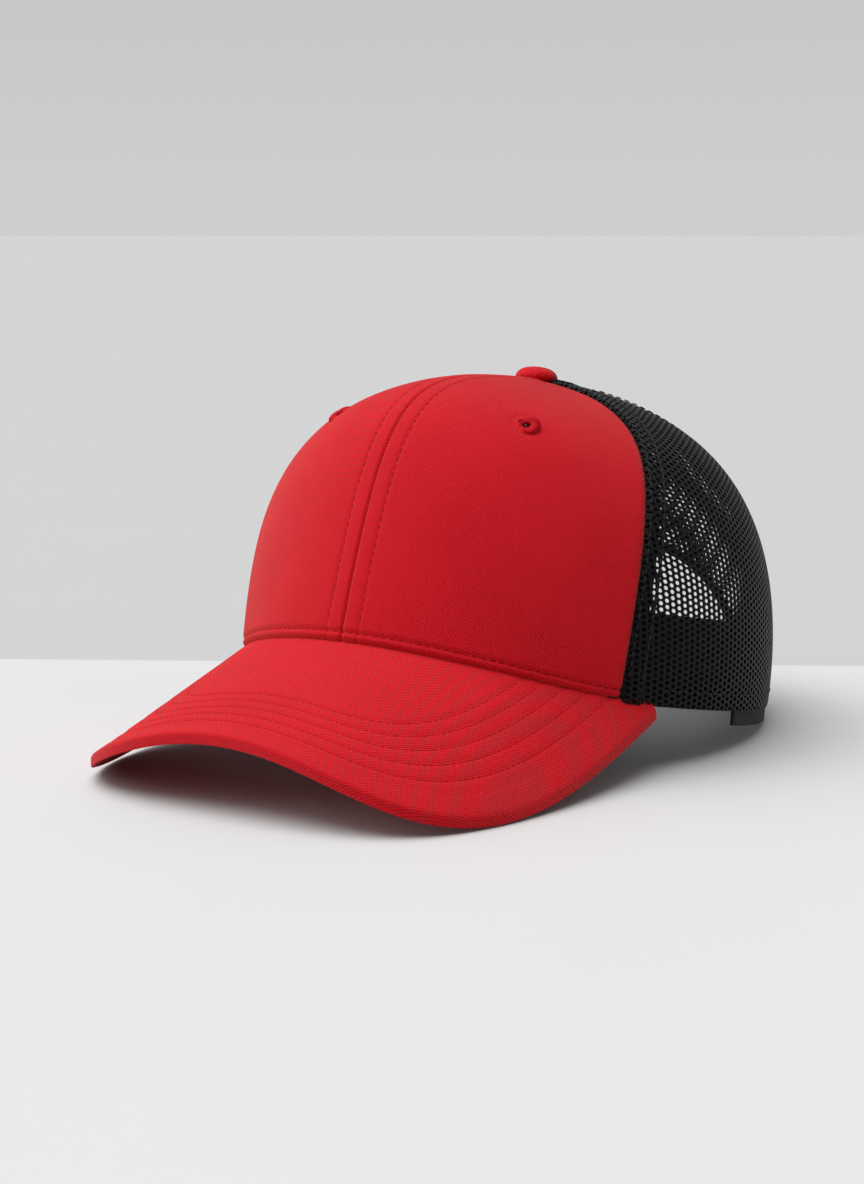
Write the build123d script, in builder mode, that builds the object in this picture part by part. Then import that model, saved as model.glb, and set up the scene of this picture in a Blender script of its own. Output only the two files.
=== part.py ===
from build123d import *
import os
from math import acos, cos, degrees, hypot, radians, sin, sqrt

# Trucker cap, millimetres. It stands on z = 0 on the two lowest points of the visor and on the
# rear hem tapes. The visor points to -Y, the strap is at +Y and the wearer's left is +X.
# Heights are above the table. Distances along Y in the crown are counted from the button.

os.makedirs("parts", exist_ok=True)

# Crown
button_y = 47.55           # button axis, behind the middle of the whole cap
oval_half_width = 87.0
oval_half_length = 100.6
oval_centre_y = -17.3      # from the button
crown_height = 119.0
top_hole_radius = 5.0      # the panels stop here, under the button
front_lean, side_lean, rear_lean = 18.4, -6.0, -7.9      # degrees, how far the wall leans in at the rim
front_rise, side_rise, rear_rise = 1.14, 0.92, 0.38      # how long the wall keeps that lean
front_roof, side_roof, rear_roof = 0.685, 0.46, 0.79     # how far the flat top reaches out
front_fall, rear_fall = -6.5, 22.5                       # degrees, slope of the top at the button
front_seam = (58.5, 88.0, 0.0)   # degrees round the oval at rim and at top, and the way it faces
rear_seam = (138.5, 117.5, 37.0)
hem_rear_height = 4.0
hem_level_from = 140.0     # degrees round the oval where the hem has come down to that height

# Visor
visor_slope = 0.293
visor_radius = 101.0       # bend across the visor
visor_root_y = -58.0       # where the visor ends beside the crown, from the button
visor_length = 121.0       # from there to the front edge
visor_width_power, visor_length_power = 0.476, 0.609     # roundness of the outline
visor_side_step = 1.0      # it stands this far proud of the crown at each side
visor_thickness = 3.6
visor_cloth = 0.8
visor_wrap = 1.2           # cloth round the rim
visor_root_inset = 3.0     # how far it reaches inside the crown's rim

# Layers of the crown wall, depths from the outer face
front_cloth = 1.2
mesh_thickness = 0.9
layer_gap = 0.1
stiffener_depths = (1.3, 2.1)
stiffener_top_radius = 12.0
hem_tape_depths = (1.0, 1.9)
seam_tape_depths = (2.2, 2.8)
sweatband_depths = (4.0, 5.3)
arch_binding_depths = (-0.6, 1.6)
sweatband_height = 30.0
sweatband_top_radius = 20.0
sweatband_end_margin = 9.0  # its ends stop this far outside the arch
hem_tape_height = 7.0
rear_hem_drop = 4.0        # the rear hem tape hangs this much below the mesh
seam_tape_half = 6.0
narrow_tape_half = 4.5
tape_top_radius = 13.0
short_tape_top_radius = 26.0
hem_step_angle = 91.0
block_reach = 200.0        # size of the blocks that cut or keep a region

# Rear arch and snap strap
arch_half_width = 45.0
arch_height = 51.0
arch_binding_width = 4.0
strap_bottom = 1.5
strap_width = 20.0
strap_thickness = 1.2
strap_gap = 0.3
strap_arc_radius = 74.1    # middle of the inner strap
strap_arc_centre_y = 6.9   # from the button
strap_root_angle = 31.0    # degrees from the rear centre line
strap_root_gap = 0.15      # between the rounded root of a strap and its sewn tab
strap_tab_end_angle = 41.0
strap_tip_corner = 5.0
peg_strap_tip_angle = 16.0
hole_strap_tip_angle = -22.3
hole_strap_step_angle = 22.5   # from the root to here it moves out over the other strap
peg_pitch_angle = 6.3
first_peg_angle = -25.0
peg_count = 7
hole_count = 7
peg_radius = 2.2
peg_length = 2.3
strap_hole_radius = 2.75

# Button and eyelets
button_tilt = 8.0
button_radius = 7.3
button_dome = 4.8
button_foot = 0.4          # the cover's edge hangs this far above the top of the crown
button_base_thickness = 1.2
rivet_radius = 1.5
rivet_washer_radius = 6.0
rivet_washer_thickness = 0.8
rivet_top = 1.2            # height of the rivet inside the button, above the top of the crown
rivet_depth = 2.8          # from there down to the washer
eyelet_angle = 38.0
eyelet_t = 0.493
eyelet_radius = 4.5
eyelet_hole_radius = 1.2
eyelet_rise = 0.6          # above the cloth
eyelet_rounding = 0.5

root_angle = degrees(acos((oval_centre_y - visor_root_y) / oval_half_length))
root_half_width = oval_half_width * sin(radians(root_angle))
visor_half_width = root_half_width + visor_side_step


def visor_drop(x, y):
    """Depth of the visor's top below its height at the middle of the crown's front."""
    along = y - (oval_centre_y - oval_half_length)
    return visor_radius - sqrt(visor_radius**2 - x**2) - visor_slope * along


def visor_edge(turn, margin=0.0):
    """Point of the visor's outline; turn runs from -90 to 90 degrees."""
    s, c = sin(radians(turn)), cos(radians(turn))
    x = (visor_half_width - margin) * (abs(s) ** visor_width_power) * (1 if s > 0 else -1)
    return x, visor_root_y - (visor_length - margin) * max(c, 0.0) ** visor_length_power


# The visor's lowest points touch the table.
visor_front_height = visor_thickness + max(visor_drop(*visor_edge(0.25 * k)) for k in range(361))


def visor_top(x, y):
    return visor_front_height - visor_drop(x, y)


def oval_point(angle, shrink=0.0):
    a, b = oval_half_width - shrink, oval_half_length - shrink
    return a * sin(radians(angle)), oval_centre_y - b * cos(radians(angle))


def hem_height(angle):
    """Height of the crown's lower edge behind the visor: one smooth fall to the rear."""
    x, y = oval_point(root_angle)
    x_near, y_near = oval_point(root_angle - 0.1)
    span = hem_level_from - root_angle
    start = visor_top(x, y)
    start_slope = (start - visor_top(x_near, y_near)) / 0.1 * span
    s = min(max((angle - root_angle) / span, 0.0), 1.0)
    return (
        (2 * s**3 - 3 * s**2 + 1) * start
        + (s**3 - 2 * s**2 + s) * start_slope
        + (3 * s**2 - 2 * s**3) * hem_rear_height
    )


def rim_height(angle, x, y):
    return visor_top(x, y) + layer_gap if angle <= root_angle else hem_height(angle) + layer_gap


def blend_round(angle, front, side, rear):
    c = cos(radians(angle))
    ends = front if c > 0 else rear
    return ends * c * c + side * (1 - c * c)


def wall_point(angle, t, depth):
    """Radius from the button axis and height of a point of the crown wall, t = 0 at the rim."""
    x, y = oval_point(angle)
    radius = hypot(x, y)
    rim = rim_height(angle, x, y)
    rise = crown_height - rim
    lean = radians(blend_round(angle, front_lean, side_lean, rear_lean))
    low = blend_round(angle, front_rise, side_rise, rear_rise) * rise
    out = blend_round(angle, front_roof, side_roof, rear_roof) * radius
    fall = radians(blend_round(angle, front_fall, (front_fall + rear_fall) / 2, rear_fall))
    px = [radius, radius - sin(lean) * low, out * cos(fall), 0.0]
    pz = [rim, rim + cos(lean) * low, crown_height - out * sin(fall), crown_height]
    u = 1 - t
    weights = (u**3, 3 * u * u * t, 3 * u * t * t, t**3)
    slopes = (-3 * u * u, 3 * u * u - 6 * u * t, 6 * u * t - 3 * t * t, 3 * t * t)
    r = sum(w * p for w, p in zip(weights, px))
    z = sum(w * p for w, p in zip(weights, pz))
    dr = sum(w * p for w, p in zip(slopes, px))
    dz = sum(w * p for w, p in zip(slopes, pz))
    size = hypot(dr, dz)
    return r - depth * dz / size, z + depth * dr / size


def direction(angle):
    """Compass direction, seen from the button, of a point of the oval."""
    x, y = oval_point(angle)
    return x / hypot(x, y), y / hypot(x, y)


def crown_point(angle, t, depth=0.0):
    dx, dy = direction(angle)
    r, z = wall_point(angle, t, depth)
    return Vector(r * dx, button_y + r * dy, z)


def find_t(test):
    """The t between 0 and 1 at which the test turns true."""
    low, high = 0.0, 1.0
    for _ in range(40):
        middle = (low + high) / 2
        if test(middle):
            high = middle
        else:
            low = middle
    return (low + high) / 2


def meridian_plane(angle):
    dx, dy = direction(angle)
    return Plane(origin=(0, button_y, 0), x_dir=(dx, dy, 0), z_dir=(dy, -dx, 0))


def wall_layer(depths, angles, height=None, top_radius=top_hole_radius, drop=0.0):
    """One layer of the crown wall on the wearer's left, lofted through its meridians."""
    with BuildPart() as layer:
        for angle in angles:
            sides = []
            for depth in depths:
                if height is None:
                    top = find_t(lambda t: wall_point(angle, t, depth)[0] < top_radius)
                else:
                    rim = wall_point(angle, 0, 0)[1]
                    top = find_t(lambda t: wall_point(angle, t, depth)[1] > rim + height)
                steps = 10 if height is None else 4
                side = [wall_point(angle, top * k / steps, depth) for k in range(steps + 1)]
                r, z = side[0]
                dx, dy = direction(angle)
                side[0] = (r, rim_height(angle, r * dx, r * dy) - drop)
                sides.append(side)
            with BuildSketch(meridian_plane(angle)):
                with BuildLine():
                    Spline(*sides[0])
                    Line(sides[0][-1], sides[1][-1])
                    Spline(*sides[1])
                    Line(sides[1][0], sides[0][0])
                make_face()
        loft()
    return layer.part


def seam_side(seam, ahead, shift=0.0):
    """Everything ahead of, or behind, a seam between rim and button, seen along its own direction."""
    low, high, view_turn = seam
    turn = radians(view_turn)
    curve = []
    for k in range(9):
        point = crown_point(low + (high - low) * k / 8, k / 8)
        across = (point.Y - button_y) * cos(turn) - point.X * sin(turn)
        curve.append((across + shift, point.Z))
    far = -block_reach if ahead else block_reach
    view_plane = Plane(origin=(0, button_y, 0), x_dir=(-sin(turn), cos(turn), 0),
                       z_dir=(cos(turn), sin(turn), 0))
    with BuildPart() as region:
        with BuildSketch(view_plane):
            with BuildLine():
                Spline(*curve)
                Polyline(curve[-1], (curve[-1][0], block_reach), (far, block_reach),
                         (far, -block_reach), (curve[0][0], -block_reach), curve[0])
            make_face()
        extrude(amount=block_reach, both=True)
    return region.part


def arch_block(margin):
    """The rear opening, grown by a margin."""
    with BuildPart() as block:
        with BuildSketch(Plane.XZ.offset(-(button_y + strap_arc_centre_y))):
            Ellipse(arch_half_width + margin, arch_height + margin)
        extrude(amount=-block_reach)
    return block.part


def other_side(piece):
    with BuildPart() as mirrored:
        mirror(piece, about=Plane.YZ)
    return mirrored.part


def save(piece, name):
    piece.label = name
    export_step(piece, f"parts/{name}.step")


def save_pair(piece, name):
    save(piece, f"{name}_left")
    save(other_side(piece), f"{name}_right")


front_angles = [root_angle * k / 6 for k in range(7)]
rear_angles = [root_angle + (180 - root_angle) * k / 9 for k in range(1, 10)]
all_angles = front_angles + rear_angles
before_front_seam = seam_side(front_seam, ahead=True)
behind_front_seam = seam_side(front_seam, ahead=False)
before_rear_seam = seam_side(rear_seam, ahead=True)
behind_rear_seam = seam_side(rear_seam, ahead=False)
arch_opening = arch_block(0.0)
arch_with_binding = arch_block(arch_binding_width)
arch_cut = arch_block(arch_binding_width + layer_gap)

# Eyelets: an embroidered ring through the cloth and the stiffener
eyelet_centre = crown_point(eyelet_angle, eyelet_t)
round_step = crown_point(eyelet_angle + 1, eyelet_t) - eyelet_centre
up_step = crown_point(eyelet_angle, eyelet_t + 0.01) - eyelet_centre
eyelet_normal = round_step.cross(up_step)
eyelet_plane = Plane(origin=eyelet_centre, x_dir=round_step, z_dir=eyelet_normal)

# Front panels and the stiffener behind them
cloth_layer = wall_layer((0.0, front_cloth), all_angles)
with BuildPart() as front_panel:
    add(cloth_layer)
    add(before_front_seam, mode=Mode.INTERSECT)
    with BuildSketch(eyelet_plane):
        Circle(eyelet_radius + layer_gap)
    extrude(amount=eyelet_radius, both=True, mode=Mode.SUBTRACT)
save_pair(front_panel.part, "front_panel")

with BuildPart() as front_stiffener:
    add(wall_layer(stiffener_depths, all_angles, top_radius=stiffener_top_radius))
    add(before_front_seam, mode=Mode.INTERSECT)
    with BuildSketch(eyelet_plane):
        Circle(eyelet_radius + layer_gap)
    extrude(amount=eyelet_radius, both=True, mode=Mode.SUBTRACT)
save_pair(front_stiffener.part, "front_stiffener")

with BuildPart() as eyelet:
    with BuildSketch(eyelet_plane.offset(-stiffener_depths[1])):
        Circle(eyelet_radius)
        Circle(eyelet_hole_radius, mode=Mode.SUBTRACT)
    extrude(amount=stiffener_depths[1] + eyelet_rise)
    fillet(eyelet.edges().filter_by(GeomType.CIRCLE).group_by(SortBy.RADIUS)[-1], eyelet_rounding)
save_pair(eyelet.part, "eyelet")

# Mesh panels
mesh_layer = wall_layer((0.0, mesh_thickness), all_angles)
with BuildPart() as side_mesh:
    add(mesh_layer)
    add(behind_front_seam, mode=Mode.INTERSECT)
    add(before_rear_seam, mode=Mode.INTERSECT)
save_pair(side_mesh.part, "side_mesh")

with BuildPart() as rear_mesh:
    add(mesh_layer)
    add(behind_rear_seam, mode=Mode.INTERSECT)
    add(arch_cut, mode=Mode.SUBTRACT)
save_pair(rear_mesh.part, "rear_mesh")

with BuildPart() as arch_binding_half:
    add(wall_layer(arch_binding_depths, all_angles[-6:]))
    add(arch_with_binding, mode=Mode.INTERSECT)
    add(arch_opening, mode=Mode.SUBTRACT)
with BuildPart() as arch_binding:
    add(arch_binding_half.part)
    mirror(arch_binding_half.part, about=Plane.YZ)
save(arch_binding.part, "arch_binding")

# Tapes over the seams, inside. They stop short of the button, where they would meet.
tape_layer = wall_layer(seam_tape_depths, all_angles, top_radius=tape_top_radius)
short_tape_layer = wall_layer(seam_tape_depths, all_angles, top_radius=short_tape_top_radius)


def tape_strip(front):
    """Half of a tape that lies along the middle plane, in front of or behind the button."""
    y_side = Align.MAX if front else Align.MIN
    with BuildPart() as strip:
        with BuildSketch(Plane((0, button_y, 0))):
            Rectangle(2 * seam_tape_half, block_reach, align=(Align.CENTER, y_side))
        extrude(amount=block_reach)
    return strip.part


def tape_half(layer, cutter):
    with BuildPart() as half:
        add(layer)
        add(cutter, mode=Mode.INTERSECT)
        add(arch_cut, mode=Mode.SUBTRACT)
    return half.part


for tape_name, is_front in (("front_centre_tape", True), ("rear_centre_tape", False)):
    centre_half = tape_half(tape_layer if is_front else short_tape_layer, tape_strip(is_front))
    with BuildPart() as centre_tape:
        add(centre_half)
        mirror(centre_half, about=Plane.YZ)
    save(centre_tape.part, tape_name)

with BuildPart() as front_side_tape:
    add(tape_layer)
    add(seam_side(front_seam, False, -seam_tape_half), mode=Mode.INTERSECT)
    add(seam_side(front_seam, True, seam_tape_half), mode=Mode.INTERSECT)
save_pair(front_side_tape.part, "front_side_tape")

with BuildPart() as rear_side_tape:
    add(short_tape_layer)
    add(seam_side(rear_seam, False, -narrow_tape_half), mode=Mode.INTERSECT)
    add(seam_side(rear_seam, True, narrow_tape_half), mode=Mode.INTERSECT)
save_pair(rear_side_tape.part, "rear_side_tape")

# Sweatband: one strip round the inside of the rim, from one side of the arch to the other
with BuildPart() as below_sweatband_top:
    with BuildSketch(Plane.YZ):
        with BuildLine():
            rim_points = [crown_point(angle, 0) for angle in all_angles]
            top_edge = [(point.Y, point.Z + sweatband_height) for point in rim_points]
            Spline(*top_edge)
            Polyline(top_edge[-1], (block_reach, top_edge[-1][1]), (block_reach, -block_reach),
                     (-block_reach, -block_reach), (-block_reach, top_edge[0][1]), top_edge[0])
        make_face()
    extrude(amount=block_reach)
with BuildPart() as sweatband_half:
    add(wall_layer(sweatband_depths, all_angles, top_radius=sweatband_top_radius))
    add(below_sweatband_top.part, mode=Mode.INTERSECT)
    add(arch_block(sweatband_end_margin), mode=Mode.SUBTRACT)
with BuildPart() as sweatband:
    add(sweatband_half.part)
    mirror(sweatband_half.part, about=Plane.YZ)
save(sweatband.part, "sweatband")

# Hem tapes behind the lower edge of the mesh: the rear one is wider and hangs to the table
side_hem_angles = [root_angle + (hem_step_angle - root_angle) * k / 3 for k in range(4)]
rear_hem_angles = [hem_step_angle + (180 - hem_step_angle) * k / 8 for k in range(9)]
save_pair(wall_layer(hem_tape_depths, side_hem_angles, height=hem_tape_height), "side_hem_tape")
with BuildPart() as rear_hem_tape:
    add(wall_layer(hem_tape_depths, rear_hem_angles, height=hem_tape_height, drop=rear_hem_drop + 1))
    add(arch_cut, mode=Mode.SUBTRACT)
    split(bisect_by=Plane.XY)
save_pair(rear_hem_tape.part, "rear_hem_tape")


def visor_outline(margin, inner_shrink):
    """Plan of the visor: the outline, smaller by a margin, up to the crown's oval."""
    with BuildSketch() as plan:
        with BuildLine():
            edge = [visor_edge(turn, margin) for turn in range(-90, 91, 6)]
            edge = [(x, y + button_y) for x, y in edge]
            Spline(*edge, tangents=((0, -1), (0, 1)))
            Line(edge[-1], edge[0])
        make_face()
        with Locations((0, button_y + oval_centre_y)):
            Ellipse(oval_half_width - inner_shrink, oval_half_length - inner_shrink, mode=Mode.SUBTRACT)
    return plan.sketch


def visor_slab(top, bottom, margin=0.0, inner_shrink=visor_root_inset):
    """The bent plate between two depths below the visor's top face, cut to its plan."""
    side = visor_radius - 3.0
    fall = visor_radius - sqrt(visor_radius**2 - side**2)
    behind_front = oval_half_length  # the plate is drawn this far behind the crown's front
    top_z = visor_front_height - top + visor_slope * behind_front - fall
    bottom_z = top_z - bottom + top
    with BuildPart() as slab:
        with BuildSketch(Plane.XZ.offset(-(button_y + oval_centre_y))):
            with BuildLine():
                RadiusArc((-side, top_z), (side, top_z), visor_radius)
                Line((side, top_z), (side, bottom_z))
                RadiusArc((side, bottom_z), (-side, bottom_z), -visor_radius)
                Line((-side, bottom_z), (-side, top_z))
            make_face()
        extrude(amount=block_reach, dir=(0, -1, -visor_slope))
        with BuildSketch(Plane.XY):
            add(visor_outline(margin, inner_shrink))
        extrude(amount=block_reach, both=True, mode=Mode.INTERSECT)
    return slab.part


# Visor: a stiff board between two covers; the top cloth is wrapped round the rim
under_top = visor_thickness - visor_cloth
with BuildPart() as visor_top_cover:
    add(visor_slab(0, under_top - layer_gap))
    add(visor_slab(visor_cloth, visor_thickness, visor_wrap, 2 * visor_root_inset), mode=Mode.SUBTRACT)
save(visor_top_cover.part, "visor_top_cover")
visor_board = visor_slab(visor_cloth + layer_gap, under_top - layer_gap, visor_wrap + layer_gap)
save(visor_board, "visor_board")
visor_under_cover = visor_slab(under_top, visor_thickness)
save(visor_under_cover, "visor_under_cover")

# Button: a cloth-covered dome on a metal base, held by a rivet and its washer
button_plane = Plane(origin=(0, button_y, crown_height), x_dir=(1, 0, 0), z_dir=(
    0, sin(radians(button_tilt)), cos(radians(button_tilt))))
base_side = button_radius - 1.0
base_top = button_foot + button_base_thickness + 2 * layer_gap
with BuildPart() as button_cover:
    with BuildSketch(Plane.XZ):
        with BuildLine():
            Polyline((0, button_dome), (0, base_top), (base_side, base_top),
                     (base_side, button_foot), (button_radius - 0.4, button_foot))
            Spline((button_radius - 0.4, button_foot), (button_radius, 1.6),
                   (button_radius - 1.6, 3.7), (0, button_dome), tangents=((0.5, 0.8), (-1, 0)))
        make_face()
    revolve(axis=Axis.Z)
save(button_plane.location * button_cover.part, "button_cover")
with BuildPart() as button_base:
    with BuildSketch(button_plane.offset(button_foot + layer_gap)):
        Circle(base_side - layer_gap)
    extrude(amount=button_base_thickness)
    with BuildSketch(button_plane):
        Circle(rivet_radius)
    extrude(amount=rivet_top, mode=Mode.SUBTRACT)
save(button_base.part, "button_base")

with BuildPart() as button_rivet:
    with BuildSketch(button_plane.offset(rivet_top)):
        Circle(rivet_radius)
    extrude(amount=-(rivet_top + rivet_depth))
    with BuildSketch(button_plane.offset(-rivet_depth - rivet_washer_thickness)):
        Circle(rivet_washer_radius)
    extrude(amount=rivet_washer_thickness)
save(button_rivet.part, "button_rivet")


def strap_point(angle, radius, z=0.0):
    y = button_y + strap_arc_centre_y + radius * cos(radians(angle))
    return Vector(radius * sin(radians(angle)), y, z)


def strap_plane(angle, radius):
    """Square to a strap at one of its pegs or holes, facing out."""
    out = Vector(sin(radians(angle)), cos(radians(angle)), 0)
    return Plane(origin=strap_point(angle, radius, strap_middle), x_dir=(0, 0, 1), z_dir=out)


def strap_arc(start, end, radius):
    ThreePointArc(strap_point(start, radius), strap_point((start + end) / 2, radius),
                  strap_point(end, radius))


def round_tip(strap, toward_left):
    tips = strap.edges().filter_by(lambda edge: abs(edge.length - strap_thickness) < 0.01)
    tips = tips.sort_by(Axis.X)
    fillet(tips[-2:] if toward_left else tips[:2], strap_tip_corner)


# Snap strap. Each half hinges where it leaves the tab that is sewn behind the hem tape.
strap_middle = strap_bottom + strap_width / 2
outer_strap_radius = strap_arc_radius + strap_thickness + strap_gap
tab_gap_angle = degrees((strap_thickness / 2 + strap_root_gap) / strap_arc_radius)
with BuildPart() as strap_tab:
    with BuildSketch(Plane.XY.offset(strap_bottom)):
        with BuildLine():
            strap_arc(strap_root_angle + tab_gap_angle, strap_tab_end_angle, strap_arc_radius)
        trace(line_width=strap_thickness)
    extrude(amount=strap_width)
save_pair(strap_tab.part, "strap_tab")

with BuildPart() as peg_strap:
    with BuildSketch(Plane.XY.offset(strap_bottom)):
        with BuildLine():
            strap_arc(-strap_root_angle, peg_strap_tip_angle, strap_arc_radius)
        trace(line_width=strap_thickness)
    extrude(amount=strap_width)
    round_tip(peg_strap, toward_left=True)
    with BuildSketch(Plane(strap_point(-strap_root_angle, strap_arc_radius, strap_bottom))):
        Circle(strap_thickness / 2)
    extrude(amount=strap_width)
    for k in range(peg_count):
        with BuildSketch(strap_plane(first_peg_angle + k * peg_pitch_angle, strap_arc_radius)):
            Circle(peg_radius)
        extrude(amount=strap_thickness / 2 + peg_length)
save(peg_strap.part, "peg_strap")

with BuildPart() as hole_strap:
    with BuildSketch(Plane.XY.offset(strap_bottom)):
        with BuildLine():
            strap_arc(hole_strap_tip_angle, hole_strap_step_angle, outer_strap_radius)
            step, root = radians(hole_strap_step_angle), radians(strap_root_angle)
            Spline(strap_point(hole_strap_step_angle, outer_strap_radius),
                   strap_point(strap_root_angle, strap_arc_radius),
                   tangents=((cos(step), -sin(step)), (cos(root), -sin(root))))
        trace(line_width=strap_thickness)
    extrude(amount=strap_width)
    round_tip(hole_strap, toward_left=False)
    with BuildSketch(Plane(strap_point(strap_root_angle, strap_arc_radius, strap_bottom))):
        Circle(strap_thickness / 2)
    extrude(amount=strap_width)
    for k in range(hole_count):
        angle = first_peg_angle + (k + 1) * peg_pitch_angle
        with BuildSketch(strap_plane(angle, outer_strap_radius)):
            Circle(strap_hole_radius)
        extrude(amount=2 * strap_thickness, both=True, mode=Mode.SUBTRACT)
save(hole_strap.part, "hole_strap")

root_point = strap_point(strap_root_angle, strap_arc_radius)
print("strap hinges at x =", round(root_point.X, 3), "and y =", round(root_point.Y, 3))
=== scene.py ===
import math
import bmesh
import bpy
import numpy as np
from mathutils import Matrix, Vector


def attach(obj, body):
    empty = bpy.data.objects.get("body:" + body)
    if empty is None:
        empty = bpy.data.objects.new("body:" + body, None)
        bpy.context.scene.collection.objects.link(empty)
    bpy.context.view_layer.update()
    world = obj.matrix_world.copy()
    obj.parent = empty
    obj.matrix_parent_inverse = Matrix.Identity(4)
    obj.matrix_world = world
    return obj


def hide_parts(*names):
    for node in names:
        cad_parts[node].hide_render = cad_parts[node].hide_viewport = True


# Trucker cap in the row frame: visor towards -Y, wearer's left +X, the table is z = 0.
# Lengths below are millimetres; every mesh is scaled to metres when it is placed.
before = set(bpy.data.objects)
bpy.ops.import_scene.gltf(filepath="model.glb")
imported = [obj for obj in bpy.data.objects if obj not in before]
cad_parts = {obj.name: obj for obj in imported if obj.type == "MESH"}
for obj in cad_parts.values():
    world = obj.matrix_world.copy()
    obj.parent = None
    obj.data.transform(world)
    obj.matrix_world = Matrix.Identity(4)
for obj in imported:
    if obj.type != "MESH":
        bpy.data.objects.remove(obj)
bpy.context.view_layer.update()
mm = 0.001
print("cad loaded")

crown = {
    "buttonY": 47.55, "halfWidth": 87.0, "halfLength": 100.6, "centreY": -17.3, "height": 119.0,
    "lean": (18.4, -6.0, -7.9), "rise": (1.14, 0.92, 0.38), "roof": (0.685, 0.46, 0.79),
    "fall": (-6.5, 22.5), "frontSeam": (58.5, 88.0), "rearSeam": (138.5, 117.5),
    "hemRear": 4.0, "hemLevel": 140.0, "gap": 0.1, "topT": 0.986,
}
visor = {
    "slope": 0.293, "radius": 101.0, "rootY": -58.0, "length": 121.0, "widthPower": 0.476,
    "lengthPower": 0.609, "sideStep": 1.0, "thickness": 3.6, "rootInset": 3.4, "edgePower": 0.4,
    "endSoftness": 0.5, "rimLift": 0.35, "rimWidth": 5.0, "rootShare": 0.02, "topShare": 0.90,
    "wrap": 1.02, "spread": 0.9, "underSeam": 0.35, "underShare": 0.8,
    "rows": (9.0, 13.4, 17.8, 22.2, 26.6), "rowDip": 0.34, "rowWidth": 0.7,
    "flat": (0.190, 0.125), "areas": (0.0155, 0.0130),
}
a, b, yc = crown["halfWidth"], crown["halfLength"], crown["centreY"]
rootAngle = math.degrees(math.acos((yc - visor["rootY"]) / b))
visorHalf = a * math.sin(math.radians(rootAngle)) + visor["sideStep"]


def visorDrop(x, y):
    return visor["radius"] - np.sqrt(visor["radius"] ** 2 - x**2) - visor["slope"] * (y - yc + b)


def visorEdge(fraction, margin=0.0):
    # fraction runs from -1 at the wearer's right end to 1 at the left end
    turn = np.concatenate([-np.logspace(0, -9, 2500), [0], np.logspace(-9, 0, 2500)])
    turn = np.concatenate([turn, np.sign(turn) * (1 - np.abs(turn))])
    turn = np.unique(np.round(turn, 12)) * math.pi / 2
    s, c = np.abs(np.sin(turn)), np.clip(np.cos(turn), 0, 1)
    x = np.sign(turn) * (visorHalf - margin) * s ** visor["widthPower"]
    y = visor["rootY"] - (visor["length"] - margin) * c ** visor["lengthPower"]
    run = np.concatenate([[0], np.cumsum(np.hypot(np.diff(x), np.diff(y)))])
    run = run / run[-1] * 2 - 1
    return np.interp(fraction, run, x), np.interp(fraction, run, y)


edgeX, edgeY = visorEdge(np.linspace(-1, 1, 4001))
visorHeight = visor["thickness"] + float(np.max(visorDrop(edgeX, edgeY)))


def visorTop(x, y):
    return visorHeight - visorDrop(x, y)


def visorMargin(x, y):
    # how far inside the outline a point lies, measured as the sewn rows are
    low, high = np.full(np.shape(x), -5.0), np.full(np.shape(x), 75.0)
    for _ in range(26):
        middle = (low + high) / 2
        s = (np.abs(x) / (visorHalf - middle)) ** (2 / visor["widthPower"])
        reach = np.clip(visor["rootY"] - y, 0, None) / (visor["length"] - middle)
        inside = s + reach ** (2 / visor["lengthPower"]) < 1
        low, high = np.where(inside, middle, low), np.where(inside, high, middle)
    return low


def ovalPoint(angle, shrink=0.0):
    turn = np.radians(angle)
    return (a - shrink) * np.sin(turn), yc - (b - shrink) * np.cos(turn)


def rimHeight(angle):
    x, y = ovalPoint(angle)
    rootX, rootY = ovalPoint(rootAngle)
    nearX, nearY = ovalPoint(rootAngle - 0.1)
    span = crown["hemLevel"] - rootAngle
    start = visorTop(rootX, rootY)
    slope = (start - visorTop(nearX, nearY)) / 0.1 * span
    s = np.clip((angle - rootAngle) / span, 0, 1)
    hem = ((2 * s**3 - 3 * s**2 + 1) * start + (s**3 - 2 * s**2 + s) * slope
           + (3 * s**2 - 2 * s**3) * crown["hemRear"])
    front = visorTop(np.clip(x, -rootX, rootX), y)
    return np.where(angle <= rootAngle, front, hem) + crown["gap"]


def blendRound(angle, front, side, rear):
    c = np.cos(np.radians(angle))
    return np.where(c > 0, front, rear) * c * c + side * (1 - c * c)


def wallPoint(angle, t, depth=0.0):
    # radius from the button's axis, and height; t is 0 at the rim and 1 at the button
    x, y = ovalPoint(angle)
    radius, rim = np.hypot(x, y), rimHeight(angle)
    lean = np.radians(blendRound(angle, *crown["lean"]))
    low = blendRound(angle, *crown["rise"]) * (crown["height"] - rim)
    out = blendRound(angle, *crown["roof"]) * radius
    front, rear = crown["fall"]
    fall = np.radians(blendRound(angle, front, (front + rear) / 2, rear))
    px = (radius, radius - np.sin(lean) * low, out * np.cos(fall), 0)
    pz = (rim, rim + np.cos(lean) * low, crown["height"] - out * np.sin(fall), crown["height"])
    u = 1 - t
    weights = (u**3, 3 * u * u * t, 3 * u * t * t, t**3)
    slopes = (-3 * u * u, 3 * u * u - 6 * u * t, 6 * u * t - 3 * t * t, 3 * t * t)
    r, z = (sum(w * p for w, p in zip(weights, ps)) for ps in (px, pz))
    dr, dz = (sum(w * p for w, p in zip(slopes, ps)) for ps in (px, pz))
    size = np.hypot(dr, dz)
    return r - depth * dz / size, z + depth * dr / size


def crownPoint(angle, t, depth=0.0):
    angle, t = np.broadcast_arrays(np.asarray(angle, float), np.asarray(t, float))
    x, y = ovalPoint(angle)
    size = np.hypot(x, y)
    r, z = wallPoint(angle, t, depth)
    return np.stack([r * x / size, crown["buttonY"] + r * y / size, z], axis=-1)


def seamAngle(seam, t):
    return seam[0] + (seam[1] - seam[0]) * t


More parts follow.
